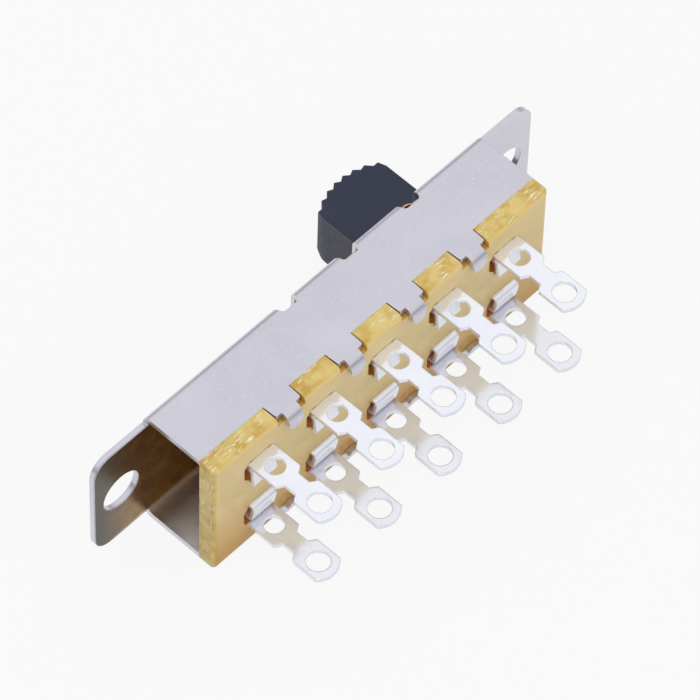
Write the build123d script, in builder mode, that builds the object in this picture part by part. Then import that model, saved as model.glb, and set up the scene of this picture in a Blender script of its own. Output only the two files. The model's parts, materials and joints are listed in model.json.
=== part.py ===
from build123d import *

import math
import os

# Voltage selector slide switch for panel mounting, two poles with five solder lugs each.
#
# Frame, in millimetres: X runs along the slide, -Y is the panel side with the knob, +Y is the lug side,
# +Z is across the two rows. The origin is on the outer face of the cover's front plate, midway between
# the two mounting holes. The switch lies on its lower side wall.

# Lug layout
lug_pitch = 6.35
lugs_per_row = 5
row_reach = 4.0  # middle plane to the outer face of a lug

# Cover, folded from one sheet
sheet = 0.5
cover_width = 12.5
cover_depth = 5.6  # front face to the edges of the side walls
end_margin = 4.55  # last lug to the end of the cover
fold_radius = 0.8
ear_length = 5.4
ear_width = 10.8
ear_corner_radius = 1.6
mounting_hole_diameter = 3.5
mounting_hole_inset = 2.75  # end of the cover to the hole's axis

# Detent notches in the folds of the cover
position_count = 3
notch_depth = 0.95
notch_mouth = 2.0
notch_floor = 1.5
notch_reach = 2.2
notch_corner_cut = 0.15

# Flaps of the side walls, and the tabs bent over the board
flap_base = 2.62
flap_top = 2.48
flap_height = 1.25
flap_shoulder_radius = 0.15
tab_width = 1.4
upper_tab_reach = 1.65  # from the outside of the wall to the tip
upper_tip_rise = 0.7
lower_tab_reach = 1.15
lower_tip_rise = 0.25
tab_bend_radius = 0.35
tab_gap = 0.02
tab_overlap = 0.1

# Terminal board
board_thickness = 1.6
board_edge_radius = 0.45
board_gap = 0.08
board_notch_gap = 0.27  # behind a flap, for the inside of its bend
board_hole_length = 3.2
board_hole_inner = 1.7  # middle plane to the near side of a hole
board_hole_cut = 0.55

# Terminals, bent from strip
strip = 0.35
contact_plate_length = 4.0
contact_plate_width = 1.1
tang_width = 1.5
tang_gap = 0.05
lug_width = 2.56
lug_length = 7.4
lug_tip_rise = 0.56
lug_waist_width = 1.42
lug_waist_start = 3.05
lug_waist_end = 4.15
lug_shoulder_slope = 0.35
lug_shoulder_radius = 0.8
lug_neck_radius = 0.3
lug_waist_radius = 0.18
inner_eye_diameter = 1.55
inner_eye_height = 1.46
outer_eye_diameter = 1.83
outer_eye_height = 5.86
hook_width = 2.3
hook_end = 1.46  # middle plane to the middle of the hook's free edge
hook_rise = 0.48
hook_lean = 0.28
hook_radius = 0.34

# Knob
knob_length = 6.75
knob_width = 5.1
knob_height = 6.22
knob_crown_radius = 5.4
knob_lower_rounding = 0.8
rim_gap = 0.02
tooth_count = 8
tooth_pitch = 0.9
tooth_depth = 0.3
tooth_flank = 0.68
slot_gap = 0.25
slot_corner_radius = 0.4
slide_offset = 0.3  # how far the slide stands past its first position

# Carriage that is moulded with the knob
carriage_gap = 0.3
carriage_end = 1.0
carriage_corner_radius = 0.6
pocket_gap = 0.1
pocket_depth = 1.3
relief_depth = 0.55

# Detent spring, a leaf between the carriage and the front plate
leaf = 0.15
leaf_gap = 0.05
leaf_end = 0.2
hump_rise = 0.28
hump_half_length = 0.6
slit = 0.15
slit_half_length = 2.6

# Bridging contacts and the bow springs behind them
bridged_lugs = 3
bridge_thickness = 0.3
bridge_width = 1.5
crest_half_length = 1.0
bridge_crest = 0.3
bridge_gap = 0.05
bow_thickness = 0.15
bow_width = 1.2
bow_length = 12.0
bow_gap = 0.02

# Sizes that follow from the ones above
row_length = (lugs_per_row - 1) * lug_pitch
cover_length = row_length + 2 * end_margin
mounting_pitch = cover_length + 2 * mounting_hole_inset
overall_length = cover_length + 2 * ear_length
wall_outside = cover_width / 2
wall_inside = wall_outside - sheet
board_inner_face = cover_depth
board_outer_face = cover_depth + board_thickness
board_hole_width = row_reach + tang_gap - board_hole_inner
board_hole_middle = (row_reach + tang_gap + board_hole_inner) / 2
tab_middle = board_outer_face + tab_gap + sheet / 2
tab_bend_end = wall_inside - tab_bend_radius
contact_face = board_inner_face - strip
contact_row = row_reach - contact_plate_width / 2
first_notch = -(lugs_per_row - 2) / 2 * lug_pitch
slide_rest = first_notch + slide_offset
slide_travel = (position_count - 1) * lug_pitch
leaf_front = sheet + leaf_gap
carriage_front = leaf_front + leaf + leaf_gap
carriage_back = contact_face - carriage_gap
bridge_back = contact_face - bridge_gap - bridge_crest - bridge_thickness
bridge_length = (bridged_lugs - 1) * lug_pitch + 2 * crest_half_length
carriage_middle = slide_rest + lug_pitch / 2
carriage_length = bridge_length + 2 * carriage_end
carriage_half_width = wall_inside - carriage_gap
pocket_floor = carriage_back - pocket_depth
arm_inside = wall_outside - notch_reach + slit / 2

lug_places = [(i - (lugs_per_row - 1) / 2) * lug_pitch for i in range(lugs_per_row)]
flap_places = [(i - (lugs_per_row - 2) / 2) * lug_pitch for i in range(lugs_per_row - 1)]
notch_places = [first_notch + i * lug_pitch for i in range(position_count)]


def facing_lugs(y):
    """Plane across the switch at depth y, drawn in X and -Z, that extrudes towards the lugs."""
    return Plane(origin=(0, y, 0), x_dir=(1, 0, 0), z_dir=(0, 1, 0))


def section(x, side):
    """Plane across the slide at x, drawn in distance from the middle plane (towards side) and Y."""
    return Plane(origin=(x, 0, 0), x_dir=(0, 0, side), z_dir=(-side, 0, 0))


def level(x, side, height):
    """Plane at a height on one side of the middle plane, drawn in X and Y from x."""
    return Plane(origin=(x, 0, side * height), x_dir=(1, 0, 0), z_dir=(0, 0, 1))


def save(piece, name):
    """Labels a finished piece and writes its file."""
    piece.part.label = name
    export_step(piece.part, f"parts/{name}.step")


def notch_outline(x, side):
    """Outline of one detent notch, at its end in the front plate."""
    with BuildSketch(level(x, side, wall_outside - notch_reach)) as outline:
        with BuildLine():
            Polyline(
                (-notch_mouth / 2, -sheet),
                (-notch_mouth / 2, 0),
                (-notch_floor / 2, notch_depth),
                (notch_floor / 2, notch_depth),
                (notch_mouth / 2, 0),
                (notch_mouth / 2, -sheet),
                close=True,
            )
        make_face()
        chamfer(outline.vertices().group_by(Axis.Y)[-1], notch_corner_cut)
    return outline.sketch


def flap_outline(x, side):
    """Outline of one flap of a side wall, from inside the wall to its shoulders."""
    root = cover_depth - sheet
    with BuildSketch(level(x, side, wall_inside)) as outline:
        with BuildLine():
            Polyline(
                (-flap_base / 2, root),
                (-flap_base / 2, cover_depth),
                (-flap_top / 2, cover_depth + flap_height),
                (flap_top / 2, cover_depth + flap_height),
                (flap_base / 2, cover_depth),
                (flap_base / 2, root),
                close=True,
            )
        make_face()
        fillet(outline.vertices().group_by(Axis.Y)[-1], flap_shoulder_radius)
    return outline.sketch


def tab_bend(x, side):
    """Section of the bend in one tab, from the flap to the board's outer face."""
    with BuildSketch(section(x, side)) as outline:
        with BuildLine():
            FilletPolyline(
                (wall_outside - sheet / 2, cover_depth + flap_height - tab_overlap),
                (wall_outside - sheet / 2, tab_middle),
                (tab_bend_end - tab_overlap, tab_middle),
                radius=tab_bend_radius + sheet / 2,
            )
        trace(line_width=sheet)
    return outline.sketch


def tab_outline(x, side):
    """Outline of the flat of one tab, with its round tip towards the middle."""
    half = tab_width / 2
    tip = wall_outside - (upper_tab_reach if side > 0 else lower_tab_reach)
    shoulder = tip + (upper_tip_rise if side > 0 else lower_tip_rise)
    with BuildSketch(facing_lugs(board_outer_face + tab_gap)) as outline:
        with BuildLine():
            Polyline(
                (x + half, -side * shoulder),
                (x + half, -side * tab_bend_end),
                (x - half, -side * tab_bend_end),
                (x - half, -side * shoulder),
            )
            ThreePointArc(
                (x - half, -side * shoulder),
                (x, -side * tip),
                (x + half, -side * shoulder),
            )
        make_face()
    return outline.sketch


def build_cover():
    """The folded steel cover: channel, ears, slot, notches, flaps and tabs."""
    with BuildPart() as cover:
        # The channel's bent section
        with BuildSketch(section(0, 1)):
            with BuildLine():
                FilletPolyline(
                    (wall_outside - sheet / 2, cover_depth),
                    (wall_outside - sheet / 2, sheet / 2),
                    (sheet / 2 - wall_outside, sheet / 2),
                    (sheet / 2 - wall_outside, cover_depth),
                    radius=fold_radius - sheet / 2,
                )
            trace(line_width=sheet)
        extrude(amount=cover_length / 2, both=True)

        # The front plate's two ears
        with BuildSketch(facing_lugs(0)):
            RectangleRounded(overall_length, ear_width, ear_corner_radius)
        extrude(amount=sheet)

        # The slot that the knob runs in, and the mounting holes
        with BuildSketch(facing_lugs(0)):
            with Locations((first_notch + slide_travel / 2, 0)):
                RectangleRounded(
                    slide_travel + knob_length + 2 * slot_gap,
                    knob_width + 2 * slot_gap,
                    slot_corner_radius,
                )
            with GridLocations(mounting_pitch, 0, 2, 1):
                Circle(mounting_hole_diameter / 2)
        extrude(amount=sheet, mode=Mode.SUBTRACT)

        for side in (1, -1):
            for x in notch_places:
                extrude(
                    notch_outline(x, side),
                    amount=side * (notch_reach + sheet),
                    mode=Mode.SUBTRACT,
                )
            for x in flap_places:
                extrude(flap_outline(x, side), amount=side * sheet)
                extrude(tab_bend(x, side), amount=tab_width / 2, both=True)
                extrude(tab_outline(x, side), amount=sheet)
    save(cover, "cover")


def board_hole():
    """Outline of one hole in the board, with its corners taken off."""
    with BuildSketch() as outline:
        Rectangle(board_hole_length, board_hole_width)
        chamfer(outline.vertices(), board_hole_cut)
    return outline.sketch


def build_terminal_board():
    """The laminate board, flush with the cover, with soft outer edges and a notch round each flap."""
    notch_width = flap_base + 2 * board_gap
    notch_bottom = wall_inside - board_notch_gap
    with BuildPart() as board:
        with BuildSketch(facing_lugs(board_inner_face)):
            Rectangle(cover_length, cover_width)
        extrude(amount=board_thickness)
        fillet(board.faces().sort_by(Axis.Y)[-1].edges(), board_edge_radius)

        with BuildSketch(facing_lugs(board_inner_face)):
            for side in (1, -1):
                for x in flap_places:
                    with Locations((x, side * wall_outside)):
                        Rectangle(notch_width, 2 * (wall_outside - notch_bottom))
                for x in lug_places:
                    with Locations((x, side * board_hole_middle)):
                        add(board_hole())
        extrude(amount=board_thickness, mode=Mode.SUBTRACT)
    save(board, "terminal_board")


def build_terminal(x, side, name):
    """One terminal: contact plate inside, lug with two eyes outside, hook curled over the board."""
    shoulder = lug_waist_start - lug_shoulder_slope
    eye_start = lug_waist_end + lug_shoulder_slope
    tip_corner = lug_length - lug_tip_rise
    base = board_outer_face
    with BuildPart() as terminal:
        # The lug stands on the board on its own shoulders
        with BuildSketch(level(x, side, row_reach)) as outline:
            with BuildLine():
                Polyline(
                    (-lug_width / 2, base + tip_corner),
                    (-lug_width / 2, base + eye_start),
                    (-lug_waist_width / 2, base + lug_waist_end),
                    (-lug_waist_width / 2, base + lug_waist_start),
                    (-lug_width / 2, base + shoulder),
                    (-lug_width / 2, base),
                    (lug_width / 2, base),
                    (lug_width / 2, base + shoulder),
                    (lug_waist_width / 2, base + lug_waist_start),
                    (lug_waist_width / 2, base + lug_waist_end),
                    (lug_width / 2, base + eye_start),
                    (lug_width / 2, base + tip_corner),
                )
                ThreePointArc(
                    (lug_width / 2, base + tip_corner),
                    (0, base + lug_length),
                    (-lug_width / 2, base + tip_corner),
                )
            make_face()
            rows = outline.vertices().group_by(Axis.Y)
            fillet(rows[4], lug_neck_radius)
            fillet(rows[2] + rows[3], lug_waist_radius)
            fillet(rows[1], lug_shoulder_radius)
            with Locations((0, base + inner_eye_height)):
                Circle(inner_eye_diameter / 2, mode=Mode.SUBTRACT)
            with Locations((0, base + outer_eye_height)):
                Circle(outer_eye_diameter / 2, mode=Mode.SUBTRACT)
        extrude(amount=-side * strip)

        # The tang that passes through the board
        with BuildSketch(level(x, side, row_reach)):
            with BuildLine():
                Polyline(
                    (-tang_width / 2, contact_face),
                    (tang_width / 2, contact_face),
                    (tang_width / 2, base),
                    (-tang_width / 2, base),
                    close=True,
                )
            make_face()
        extrude(amount=-side * strip)

        # The contact plate on the inner face of the board
        with BuildSketch(facing_lugs(contact_face)):
            with Locations((x, -side * contact_row)):
                Rectangle(contact_plate_length, contact_plate_width)
        extrude(amount=strip)

        # The hook, which leans over towards the middle and presses its edge on the board
        leg = row_reach - contact_plate_width + strip / 2
        with BuildSketch(section(x, side)):
            with BuildLine():
                FilletPolyline(
                    (leg, contact_face),
                    (leg, base + hook_rise - hook_lean),
                    (hook_end, base + hook_rise),
                    (hook_end, base),
                    radius=hook_radius,
                )
            trace(line_width=strip)
        extrude(amount=hook_width / 2, both=True)
    save(terminal, name)


def knob_outline():
    """Corners of the knob's toothed outline, from one foot round the crown to the other."""

    def crown(x, drop):
        sag = knob_crown_radius - math.sqrt(knob_crown_radius**2 - x**2)
        return (x, -(knob_height - drop - sag))

    first = -(tooth_count - 1) / 2 * tooth_pitch
    tips = [crown(first + i * tooth_pitch, 0) for i in range(tooth_count)]
    valleys = [crown(first + (i + 0.5) * tooth_pitch, tooth_depth) for i in range(tooth_count - 1)]
    edge = tips[0][1] + tooth_flank
    outline = [(-knob_length / 2, carriage_front), (-knob_length / 2, edge)]
    for tip, valley in zip(tips, valleys):
        outline += [tip, valley]
    outline += [tips[-1], (knob_length / 2, edge), (knob_length / 2, carriage_front)]
    return outline


def build_slide():
    """The moulded slide: toothed knob, and the carriage behind the front plate."""
    crown_middle = -(knob_height - knob_crown_radius)
    rim_radius = knob_crown_radius + rim_gap
    with BuildPart() as slide:
        # The knob, extruded across its teeth
        with BuildSketch(level(slide_rest, 1, 0)):
            with BuildLine():
                Polyline(*knob_outline(), close=True)
            make_face()
        extrude(amount=knob_width / 2, both=True)

        # The crown's lower rim is rounded about the crown's own axis
        with BuildSketch(section(slide_rest, 1)) as rim:
            with Locations((0, crown_middle)):
                Rectangle(knob_width, rim_radius, align=(Align.CENTER, Align.MAX))
            fillet(rim.vertices().group_by(Axis.Y)[0].sort_by(Axis.X)[0], knob_lower_rounding)
        revolve(
            axis=Axis((slide_rest, crown_middle, 0), (0, 0, 1)),
            mode=Mode.INTERSECT,
        )

        # The carriage
        with BuildSketch(facing_lugs(carriage_front)):
            with Locations((carriage_middle, 0)):
                RectangleRounded(carriage_length, 2 * carriage_half_width, carriage_corner_radius)
        extrude(amount=carriage_back - carriage_front)

        for side in (1, -1):
            # Pocket for a bridging contact and its spring
            with BuildSketch(facing_lugs(pocket_floor)):
                with Locations((carriage_middle, -side * contact_row)):
                    Rectangle(bridge_length + 2 * pocket_gap, bridge_width + 2 * pocket_gap)
            extrude(amount=pocket_depth, mode=Mode.SUBTRACT)

            # Room for the detent spring's hump to sink
            with BuildSketch(facing_lugs(carriage_front)):
                with Locations((slide_rest, -side * (arm_inside + wall_inside) / 2)):
                    Rectangle(2 * slit_half_length, wall_inside - arm_inside)
            extrude(amount=relief_depth, mode=Mode.SUBTRACT)
    save(slide, "slide_actuator")


def build_detent_spring():
    """The leaf spring round the knob's stem, with a hump on each side that drops into the notches."""
    half_width = carriage_half_width + carriage_gap - leaf_end
    with BuildPart() as spring:
        with BuildSketch(facing_lugs(leaf_front)):
            with Locations((carriage_middle, 0)):
                RectangleRounded(
                    carriage_length - 2 * leaf_end, 2 * half_width, carriage_corner_radius
                )
            with Locations((slide_rest, 0)):
                RectangleRounded(
                    knob_length + 2 * slit,
                    knob_width + 2 * slit,
                    slot_corner_radius,
                    mode=Mode.SUBTRACT,
                )
            for side in (1, -1):
                with Locations((slide_rest, -side * (arm_inside - slit / 2))):
                    Rectangle(2 * slit_half_length, slit, mode=Mode.SUBTRACT)
                with Locations((slide_rest, -side * (arm_inside + half_width) / 2)):
                    Rectangle(
                        2 * hump_half_length, half_width - arm_inside, mode=Mode.SUBTRACT
                    )
        extrude(amount=leaf)

        for side in (1, -1):
            with BuildSketch(level(slide_rest, side, arm_inside)):
                with BuildLine():
                    ThreePointArc(
                        (-hump_half_length, leaf_front),
                        (0, leaf_front - hump_rise),
                        (hump_half_length, leaf_front),
                    )
                    Line((hump_half_length, leaf_front), (hump_half_length, leaf_front + leaf))
                    ThreePointArc(
                        (hump_half_length, leaf_front + leaf),
                        (0, leaf_front + leaf - hump_rise),
                        (-hump_half_length, leaf_front + leaf),
                    )
                    Line((-hump_half_length, leaf_front + leaf), (-hump_half_length, leaf_front))
                make_face()
            extrude(amount=side * (half_width - arm_inside))
    save(spring, "detent_spring")


def build_bridge(side, name):
    """One bridging contact: a strip with a crest under each of three neighbouring terminals."""
    crests = [(i - (bridged_lugs - 1) / 2) * lug_pitch for i in range(bridged_lugs)]
    front = bridge_back + bridge_thickness
    with BuildPart() as bridge:
        with BuildSketch(level(carriage_middle, side, contact_row)):
            with Locations((0, bridge_back + bridge_thickness / 2)):
                Rectangle(bridge_length, bridge_thickness)
            for x in crests:
                with Locations((x, bridge_back)):
                    Rectangle(
                        2 * crest_half_length,
                        bridge_thickness,
                        align=(Align.CENTER, Align.MIN),
                        mode=Mode.SUBTRACT,
                    )
        extrude(amount=bridge_width / 2, both=True)
        for x in crests:
            with BuildSketch(level(carriage_middle + x, side, contact_row)):
                with BuildLine():
                    ThreePointArc(
                        (-crest_half_length, front),
                        (0, front + bridge_crest),
                        (crest_half_length, front),
                    )
                    Line((crest_half_length, front), (crest_half_length, bridge_back))
                    ThreePointArc(
                        (crest_half_length, bridge_back),
                        (0, bridge_back + bridge_crest),
                        (-crest_half_length, bridge_back),
                    )
                    Line((-crest_half_length, bridge_back), (-crest_half_length, front))
                make_face()
            extrude(amount=bridge_width / 2, both=True)
    save(bridge, name)


def build_bow(side, name):
    """One bow spring between the carriage and a bridging contact."""
    foot = pocket_floor + bow_gap
    crown = bridge_back - bow_gap - bow_thickness
    half = bow_length / 2
    with BuildPart() as bow:
        with BuildSketch(level(carriage_middle, side, contact_row)):
            with BuildLine():
                ThreePointArc((-half, foot), (0, crown), (half, foot))
                Line((half, foot), (half, foot + bow_thickness))
                ThreePointArc(
                    (half, foot + bow_thickness),
                    (0, crown + bow_thickness),
                    (-half, foot + bow_thickness),
                )
                Line((-half, foot + bow_thickness), (-half, foot))
            make_face()
        extrude(amount=bow_width / 2, both=True)
    save(bow, name)


os.makedirs("parts", exist_ok=True)
build_cover()
build_terminal_board()
for row, side in (("a", 1), ("b", -1)):
    for number, x in enumerate(lug_places, start=1):
        build_terminal(x, side, f"terminal_{row}{number}")
    build_bridge(side, f"bridging_contact_{row}")
    build_bow(side, f"contact_spring_{row}")
build_slide()
build_detent_spring()
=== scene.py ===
import json
import math

import bpy
from mathutils import Matrix, Vector


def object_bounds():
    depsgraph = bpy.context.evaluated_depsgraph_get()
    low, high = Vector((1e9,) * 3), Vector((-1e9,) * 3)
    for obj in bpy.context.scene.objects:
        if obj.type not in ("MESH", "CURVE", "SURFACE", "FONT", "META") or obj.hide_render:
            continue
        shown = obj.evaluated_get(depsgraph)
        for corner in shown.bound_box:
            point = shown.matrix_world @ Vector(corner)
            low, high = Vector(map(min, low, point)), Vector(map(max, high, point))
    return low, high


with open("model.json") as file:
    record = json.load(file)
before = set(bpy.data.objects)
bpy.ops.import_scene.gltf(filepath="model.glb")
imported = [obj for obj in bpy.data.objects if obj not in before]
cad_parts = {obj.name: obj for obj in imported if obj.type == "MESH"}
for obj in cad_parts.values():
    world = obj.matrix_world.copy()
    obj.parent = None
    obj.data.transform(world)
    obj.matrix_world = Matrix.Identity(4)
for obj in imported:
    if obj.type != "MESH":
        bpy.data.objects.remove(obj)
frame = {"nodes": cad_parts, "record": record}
cad_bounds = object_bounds()

mm = 0.001
scene = bpy.context.scene

# Camera: angles in degrees, distances in millimetres, focal length in pixels of a 700-pixel frame
azimuth = 132.24
elevation = 55.57
roll = 1.91
distance = 497.5
focal_pixels = 6888.3
frame_pixels = 700
sensor_width = 36.0
look_at = Vector((0.10, 4.0, 0.61))

# Camera: what it can see, in metres from it
nearest_seen = 0.05
farthest_seen = 20

# Lamps: name, place, point that it lights, side and power, in metres and watts
lamps = (
    ("key", (0.10, 0.08, 0.38), (0, 0.004, 0), 0.18, 0.16),
    ("fill", (0.30, 0.22, 0.16), (0, 0.006, 0), 0.25, 0.07),
    ("side", (0.36, 0.03, 0.10), (0.02, 0.003, 0), 0.15, 0.055),
)

# World: darker towards the horizon, which gives the metal its darker rims
world_top = (0.95, 0.95, 0.98, 1)
world_bottom = (0.34, 0.34, 0.36, 1)
world_dark_below = 0.1
world_bright_above = 0.6

# Floor, at the lowest point of the part
floor_size = 3.0
floor_height = cad_bounds[0][2]
floor_glow = 0.9

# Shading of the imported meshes
weld_distance = 0.0005 * mm
crisp_angle = math.radians(25)
shading_weight = 50
bevel_samples = 6

# Places on the cover where its tone changes
channel_end = 16.5 * mm
cast_fade = 0.5 * mm
ear_fade = 5.5 * mm
front_inner_face = 0.45 * mm
front_inner_fade = 0.04 * mm
wall_edge = 5.5 * mm
wall_inner_face = 5.8 * mm
wall_inner_fade = 0.05 * mm
lower_wall_inner = -5.6 * mm
lower_wall_fade = 0.6 * mm
dull_from = 1.5 * mm
dull_to = 4.5 * mm

# Places on the board where its tone changes
board_dark_below = -5 * mm
board_pale_above = 0.5 * mm
hole_near = 1.5 * mm
hole_far = 4.2 * mm
notch_near = 4.4 * mm
notch_far = 6.0 * mm
hole_fade = 0.1 * mm
last_hole = 15 * mm
last_hole_fade = 1 * mm

# Colour sockets of a mix node
mix_first = 6
mix_second = 7
mix_result = 2


def srgb(r, g, b):
    """Linear colour with alpha from a display colour of 0 to 255."""
    channels = []
    for value in (r, g, b):
        value = value / 255
        channels.append(value / 12.92 if value <= 0.04045 else ((value + 0.055) / 1.055) ** 2.4)
    return (*channels, 1)


# Colours of the cover
steel_tones = (srgb(205, 204, 213), srgb(214, 212, 220))
steel_fleck = srgb(226, 226, 232)
steel_pit = srgb(186, 184, 194)
# Painted highlight: near-white tone laid along the cover's edges
steel_edge_painted_highlight = srgb(246, 246, 250)
# Painted reflection of the brown board, with painted shade, laid inside the channel
inner_painted_reflection_shade_tones = (srgb(156, 112, 46), srgb(182, 142, 76))
# Painted highlight on the inner face of the lower wall
inner_painted_highlight_tones = (srgb(244, 236, 230), srgb(255, 253, 251))
# Painted shade on the inner face of the ear at the +X end
inner_ear_painted_shade = srgb(88, 84, 78)

# Colours of the board
# Painted shade low on the board's face and painted light higher up: the face runs from the first pair
# to the second
board_painted_shade_tones = (srgb(212, 154, 14), srgb(222, 166, 28))
board_painted_light_tones = (srgb(241, 212, 136), srgb(247, 220, 150))
board_cut_tones = (srgb(202, 166, 76), srgb(224, 200, 124))
board_fibre = srgb(246, 242, 226)
# Painted glow of light through the laminate, on the walls of its holes and notches
board_painted_glow = srgb(255, 172, 78)

# Colours of the other pieces and of the floor
lug_tones = (srgb(240, 242, 250), srgb(247, 249, 254))
lug_grain = srgb(226, 226, 234)
slide_tones = (srgb(22, 30, 54), srgb(28, 37, 62))
# Painted highlight on the knob's arrises
slide_painted_highlight = srgb(150, 154, 170)
bronze_tones = (srgb(206, 158, 128), srgb(226, 186, 158))
contact_tones = (srgb(206, 196, 176), srgb(226, 220, 206))
floor_first = (0.50, 0.50, 0.51, 1)
floor_second = (0.54, 0.54, 0.55, 1)
white = (1, 1, 1, 1)


class Nodes:
    """Short ways to add and join shader nodes in one material."""

    def __init__(self, name):
        self.material = bpy.data.materials.new(name)
        self.material.use_nodes = True
        self.tree = self.material.node_tree
        self.tree.nodes.clear()
        self.output = self.tree.nodes.new("ShaderNodeOutputMaterial")
        self.shader = self.tree.nodes.new("ShaderNodeBsdfPrincipled")
        self.tree.links.new(self.shader.outputs["BSDF"], self.output.inputs["Surface"])
        self.place = self.tree.nodes.new("ShaderNodeTexCoord").outputs["Object"]

    def add(self, kind, **settings):
        node = self.tree.nodes.new(kind)
        for key, value in settings.items():
            setattr(node, key, value)
        return node

    def link(self, a, b):
        self.tree.links.new(a, b)

    def put(self, socket, value):
        """Joins value to socket, or writes it there as a constant."""
        if isinstance(value, bpy.types.NodeSocket):
            self.link(value, socket)
        else:
            socket.default_value = value

    def stretch(self, scale):
        """Object position, scaled along each axis."""
        node = self.add("ShaderNodeMapping")
        self.link(self.place, node.inputs["Vector"])
        node.inputs["Scale"].default_value = scale
        return node.outputs["Vector"]

    def noise(self, scale, detail=2.0, roughness=0.5, vector=None):
        node = self.add("ShaderNodeTexNoise")
        self.put(node.inputs["Vector"], vector or self.place)
        node.inputs["Scale"].default_value = scale
        node.inputs["Detail"].default_value = detail
        node.inputs["Roughness"].default_value = roughness
        return node.outputs["Fac"]

    def span(self, value, low, high, to_low=0.0, to_high=1.0):
        """Runs from to_low to to_high as value runs from low to high, and stays there outside them."""
        node = self.add("ShaderNodeMapRange")
        self.put(node.inputs["Value"], value)
        node.inputs["From Min"].default_value = low
        node.inputs["From Max"].default_value = high
        node.inputs["To Min"].default_value = to_low
        node.inputs["To Max"].default_value = to_high
        return node.outputs["Result"]

    def band(self, value, low, high, soft):
        """1 between low and high, fading to 0 over the soft width outside them."""
        rise = self.span(value, low - soft, low)
        fall = self.span(value, high, high + soft, 1.0, 0.0)
        return self.product(rise, fall)

    def math(self, operation, a, b=0.0, clamp=False):
        node = self.add("ShaderNodeMath", operation=operation, use_clamp=clamp)
        self.put(node.inputs[0], a)
        self.put(node.inputs[1], b)
        return node.outputs[0]

    def product(self, first, *others):
        """All the given masks and factors multiplied together."""
        result = first
        for other in others:
            result = self.math("MULTIPLY", result, other)
        return result

    def mix(self, factor, a, b):
        node = self.add("ShaderNodeMix", data_type="RGBA")
        self.put(node.inputs[0], factor)
        self.put(node.inputs[mix_first], a)
        self.put(node.inputs[mix_second], b)
        return node.outputs[mix_result]

    def tint(self, pattern, low, high, tones):
        """Two tones, the first where the pattern is at low and the second where it is at high."""
        return self.mix(self.span(pattern, low, high), *tones)

    def axis(self, which):
        """Object position along one axis, in metres."""
        node = self.add("ShaderNodeSeparateXYZ")
        self.link(self.place, node.inputs[0])
        return node.outputs[which]

    def off_middle(self, which):
        """Distance from the origin along one axis, on either side, in metres."""
        return self.math("ABSOLUTE", self.axis(which))

    def facing(self, which):
        """How far the surface's own normal points along one axis."""
        geometry = self.add("ShaderNodeNewGeometry")
        node = self.add("ShaderNodeSeparateXYZ")
        self.link(geometry.outputs["True Normal"], node.inputs[0])
        return node.outputs[which]

    def softened(self, rounding):
        """The normal, with edges rounded by the given radius in metres."""
        bevel = self.add("ShaderNodeBevel", samples=bevel_samples)
        bevel.inputs["Radius"].default_value = rounding
        return bevel.outputs["Normal"]

    def edge(self, rounding):
        """0 on flats and 1 on edges softened by the given radius."""
        geometry = self.add("ShaderNodeNewGeometry")
        dot = self.add("ShaderNodeVectorMath", operation="DOT_PRODUCT")
        self.link(self.softened(rounding), dot.inputs[0])
        self.link(geometry.outputs["Normal"], dot.inputs[1])
        return self.span(dot.outputs["Value"], 0.995, 0.9)

    def relief(self, height, depth, rounding):
        """Bump of the given depth in metres, on edges softened by the given radius."""
        bump = self.add("ShaderNodeBump")
        bump.inputs["Distance"].default_value = depth
        self.put(bump.inputs["Height"], height)
        self.link(self.softened(rounding), bump.inputs["Normal"])
        self.link(bump.outputs["Normal"], self.shader.inputs["Normal"])

    def finish(self, colour, roughness, metallic=0.0, **rest):
        """Fills the shader and gives the material; rest holds the shader's other sockets."""
        self.put(self.shader.inputs["Base Color"], colour)
        self.put(self.shader.inputs["Roughness"], roughness)
        self.put(self.shader.inputs["Metallic"], metallic)
        for key, value in rest.items():
            self.shader.inputs[key.replace("_", " ")].default_value = value
        return self.material


def inside_cover(n):
    """1 inside the folded channel and on the inner face of the ear at its +X end, 0 elsewhere."""
    along = n.span(n.axis(0), -channel_end, cast_fade - channel_end)
    deep = n.band(n.axis(1), front_inner_face, wall_edge, front_inner_fade)
    outside = wall_inner_face + wall_inner_fade
    across = n.span(n.off_middle(2), wall_inner_face, outside, 1.0, 0.0)
    return n.product(along, deep, across)


def ear_part(n):
    """0 at the end of the channel, 1 at the end of an ear."""
    return n.span(n.off_middle(0), channel_end, channel_end + ear_fade)


def hole_wall(n):
    """1 on the walls of the board's holes, less in its notches, 0 on its outer edges."""
    holes = n.band(n.off_middle(2), hole_near, hole_far, hole_fade)
    notches = n.band(n.off_middle(2), notch_near, notch_far, hole_fade)
    rows = n.math("ADD", holes, n.product(notches, 0.3))
    return n.product(rows, n.span(n.off_middle(0), last_hole, last_hole + last_hole_fade, 1.0, 0.0))


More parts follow.
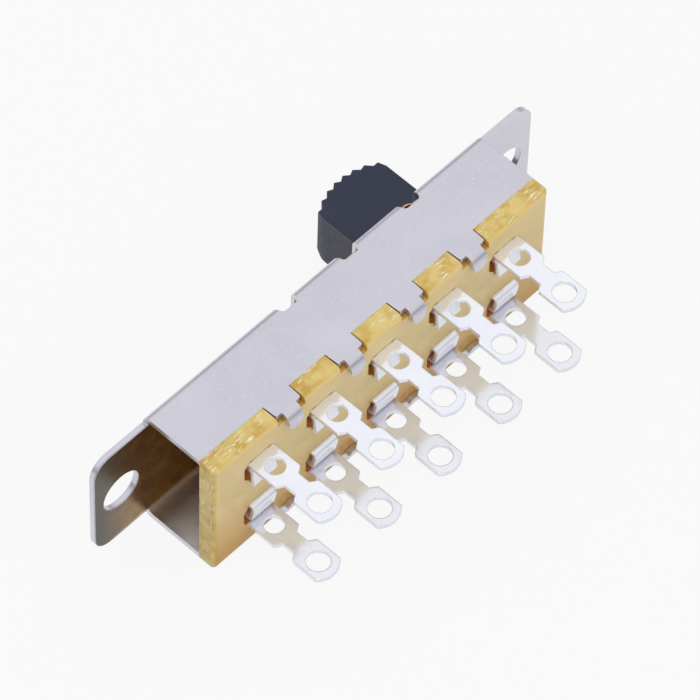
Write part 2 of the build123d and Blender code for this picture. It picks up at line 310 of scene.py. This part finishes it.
def plated_steel():
    """Satin zinc plating: fine speckle, faint cloudiness, painted highlight on edges, painted board
    reflection, shade and highlight inside.
    """
    n = Nodes("plated_steel")
    cloud = n.noise(240, detail=3.0)
    speckle = n.noise(4200, roughness=0.6)
    mottle = n.noise(900, detail=3.0, roughness=0.6)
    edge = n.edge(0.08 * mm)
    inward = n.product(inside_cover(n), n.span(n.edge(0.1 * mm), 0.0, 0.6, 1.0, 0.0))
    lower_wall = n.span(n.axis(2), lower_wall_inner, lower_wall_inner + lower_wall_fade, 1.0, 0.0)

    outer = n.tint(cloud, 0.3, 0.7, steel_tones)
    outer = n.mix(n.span(speckle, 0.6, 0.72, 0.0, 0.6), outer, steel_fleck)
    outer = n.mix(n.span(speckle, 0.45, 0.25, 0.0, 0.12), outer, steel_pit)
    # Inside the channel: painted reflection and shade, a painted highlight on the lower wall, painted
    # shade on the +X ear
    brown = n.tint(mottle, 0.4, 0.65, inner_painted_reflection_shade_tones)
    pale = n.tint(mottle, 0.35, 0.6, inner_painted_highlight_tones)
    inner = n.mix(ear_part(n), n.mix(lower_wall, brown, pale), inner_ear_painted_shade)
    tone = n.mix(inward, outer, inner)
    # Painted highlight along the edges
    tone = n.mix(n.product(edge, 0.6), tone, steel_edge_painted_highlight)

    dull = n.product(inward, lower_wall, n.span(n.axis(1), dull_from, dull_to), 0.6)
    metal = n.math("SUBTRACT", n.span(edge, 0.0, 1.0, 0.92, 0.3), dull, clamp=True)
    n.relief(speckle, depth=0.0008 * mm, rounding=0.08 * mm)
    return n.finish(tone, n.span(cloud, 0.3, 0.7, 0.26, 0.32), metal)


def laminate():
    """Glossy yellow-ochre laminate with painted light above, painted shade below, fibres on its cut
    edges and a painted amber glow in its holes.
    """
    n = Nodes("laminate")
    cloud = n.noise(160, detail=4.0, roughness=0.55)
    patch = n.noise(700, detail=3.0, roughness=0.6)
    fleck = n.noise(5200, detail=3.0, roughness=0.6, vector=n.stretch((0.22, 1, 0.22)))
    where = n.noise(500)
    flat = n.span(n.math("ABSOLUTE", n.facing(1)), 0.5, 0.95)

    low = n.tint(cloud, 0.3, 0.7, board_painted_shade_tones)
    high = n.tint(cloud, 0.3, 0.7, board_painted_light_tones)
    # Painted shade below and painted light above
    face = n.mix(n.span(n.axis(2), board_dark_below, board_pale_above), low, high)
    fibres = n.product(n.span(fleck, 0.56, 0.66), n.span(where, 0.42, 0.56), 0.85)
    cut = n.tint(patch, 0.36, 0.6, board_cut_tones)
    cut = n.mix(fibres, cut, board_fibre)
    # Painted glow on the hole walls
    cut = n.mix(hole_wall(n), cut, board_painted_glow)

    n.relief(patch, depth=0.002 * mm, rounding=0.05 * mm)
    return n.finish(
        n.mix(flat, cut, face),
        n.span(flat, 0.0, 1.0, 0.4, 0.05),
        IOR=1.42,
        Subsurface_Weight=0.35,
        Subsurface_Radius=(1.0, 0.55, 0.15),
        Subsurface_Scale=0.6 * mm,
    )


def tinned_brass():
    """Bright tinned strip, faintly clouded, with soft stamped edges."""
    n = Nodes("tinned_brass")
    cloud = n.noise(420, detail=3.0)
    grain = n.noise(3000, roughness=0.6)
    tone = n.tint(cloud, 0.3, 0.7, lug_tones)
    tone = n.mix(n.span(grain, 0.45, 0.75, 0.0, 0.2), tone, lug_grain)
    n.relief(cloud, depth=0.0015 * mm, rounding=0.13 * mm)
    return n.finish(tone, n.span(grain, 0.3, 0.7, 0.08, 0.14), metallic=0.5)


def slide_plastic():
    """Slate-black moulding with a faint sheen and a painted highlight on its arrises."""
    n = Nodes("slide_plastic")
    grain = n.noise(3000, detail=3.0)
    cloud = n.noise(220)
    tone = n.tint(cloud, 0.35, 0.65, slide_tones)
    # Painted highlight along the edges
    tone = n.mix(n.product(n.edge(0.08 * mm), 0.5), tone, slide_painted_highlight)
    n.relief(grain, depth=0.002 * mm, rounding=0.07 * mm)
    return n.finish(tone, n.span(grain, 0.3, 0.7, 0.42, 0.52))


def rolled_metal(name, tones, stretch):
    """Metal strip with fine rolling lines across the stretched axis."""
    n = Nodes(name)
    grain = n.noise(2600, roughness=0.6, vector=n.stretch(stretch))
    tone = n.tint(grain, 0.35, 0.65, tones)
    n.relief(grain, depth=0.001 * mm, rounding=0.04 * mm)
    return n.finish(tone, n.span(grain, 0.3, 0.7, 0.25, 0.38), metallic=0.95)


def spring_bronze():
    """Phosphor bronze leaf."""
    return rolled_metal("spring_bronze", bronze_tones, (1, 1, 6))


def contact_metal():
    """Silver-plated brass."""
    return rolled_metal("contact_metal", contact_tones, (6, 1, 1))


def floor_paper():
    """Grey paper that shows as white to the camera and in metal, and keeps a soft shadow."""
    n = Nodes("floor_paper")
    n.finish(n.mix(n.noise(900), floor_first, floor_second), 0.9)
    path = n.add("ShaderNodeLightPath")
    seen = n.math("ADD", path.outputs["Is Glossy Ray"], path.outputs["Is Transmission Ray"])
    seen = n.math("ADD", path.outputs["Is Camera Ray"], seen, clamp=True)
    glow = n.add("ShaderNodeEmission")
    glow.inputs["Color"].default_value = white
    blend = n.add("ShaderNodeMixShader")
    n.link(n.product(seen, floor_glow), blend.inputs["Fac"])
    n.link(n.shader.outputs["BSDF"], blend.inputs[1])
    n.link(glow.outputs["Emission"], blend.inputs[2])
    n.link(blend.outputs["Shader"], n.output.inputs["Surface"])
    return n.material


def dress_nodes():
    """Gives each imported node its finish, and even shading that breaks at its sharp edges."""
    finishes = {
        "plated_steel": plated_steel(),
        "laminate": laminate(),
        "tinned_brass": tinned_brass(),
        "slide_plastic": slide_plastic(),
        "spring_bronze": spring_bronze(),
        "contact_metal": contact_metal(),
    }
    finishes["spring_wire"] = finishes["spring_bronze"]
    slots = {part["node"]: part["material_slot"] for part in frame["record"]["subparts"]}
    for name, node in frame["nodes"].items():
        node.data.materials.clear()
        node.data.materials.append(finishes[slots[name]])
        for face in node.data.polygons:
            face.use_smooth = True
        weld = node.modifiers.new("weld", "WELD")
        weld.merge_threshold = weld_distance
        split = node.modifiers.new("crisp_edges", "EDGE_SPLIT")
        split.split_angle = crisp_angle
        shade = node.modifiers.new("even_shading", "WEIGHTED_NORMAL")
        shade.weight = shading_weight


def put_floor():
    bpy.ops.mesh.primitive_plane_add(size=floor_size, location=(0, 0, floor_height))
    floor = bpy.context.object
    floor.name = "floor"
    floor.data.materials.append(floor_paper())


def put_lamp(name, spot, aim, side, power):
    """Square lamp at spot, turned towards aim."""
    lamp = bpy.data.lights.new(name, "AREA")
    lamp.shape = "SQUARE"
    lamp.size = side
    lamp.energy = power
    holder = bpy.data.objects.new(name, lamp)
    scene.collection.objects.link(holder)
    holder.location = spot
    direction = Vector(aim) - Vector(spot)
    holder.rotation_euler = direction.to_track_quat("-Z", "Y").to_euler()


def put_world():
    """Plain light from all sides, fading from the dark bottom colour to the bright top one."""
    world = bpy.data.worlds.new("studio")
    scene.world = world
    world.use_nodes = True
    tree = world.node_tree
    tree.nodes.clear()
    output = tree.nodes.new("ShaderNodeOutputWorld")
    place = tree.nodes.new("ShaderNodeTexCoord")
    split = tree.nodes.new("ShaderNodeSeparateXYZ")
    ramp = tree.nodes.new("ShaderNodeMapRange")
    blend = tree.nodes.new("ShaderNodeMix")
    blend.data_type = "RGBA"
    light = tree.nodes.new("ShaderNodeBackground")
    tree.links.new(place.outputs["Generated"], split.inputs[0])
    tree.links.new(split.outputs["Z"], ramp.inputs["Value"])
    ramp.inputs["From Min"].default_value = world_dark_below
    ramp.inputs["From Max"].default_value = world_bright_above
    tree.links.new(ramp.outputs["Result"], blend.inputs[0])
    blend.inputs[mix_first].default_value = world_bottom
    blend.inputs[mix_second].default_value = world_top
    tree.links.new(blend.outputs[mix_result], light.inputs["Color"])
    tree.links.new(light.outputs["Background"], output.inputs["Surface"])


def put_camera():
    """Camera that looks at look_at from the given angles and distance, as the photograph was taken."""
    a, e, r = (math.radians(value) for value in (azimuth, elevation, roll))
    back = Vector((math.sin(a) * math.cos(e), -math.cos(a) * math.cos(e), math.sin(e)))
    right = Vector((math.cos(a), math.sin(a), 0))
    up = back.cross(right)
    x = math.cos(r) * right + math.sin(r) * up
    y = -math.sin(r) * right + math.cos(r) * up
    data = bpy.data.cameras.new("camera")
    data.sensor_width = sensor_width
    data.lens = focal_pixels * sensor_width / frame_pixels
    data.clip_start = nearest_seen
    data.clip_end = farthest_seen
    camera = bpy.data.objects.new("camera", data)
    scene.collection.objects.link(camera)
    place = (look_at + back * distance) * mm
    camera.matrix_world = Matrix(
        (
            (x.x, y.x, back.x, place.x),
            (x.y, y.y, back.y, place.y),
            (x.z, y.z, back.z, place.z),
            (0, 0, 0, 1),
        )
    )
    scene.camera = camera


dress_nodes()
put_floor()
for lamp in lamps:
    put_lamp(*lamp)
put_world()
put_camera()
scene.view_settings.view_transform = "Standard"
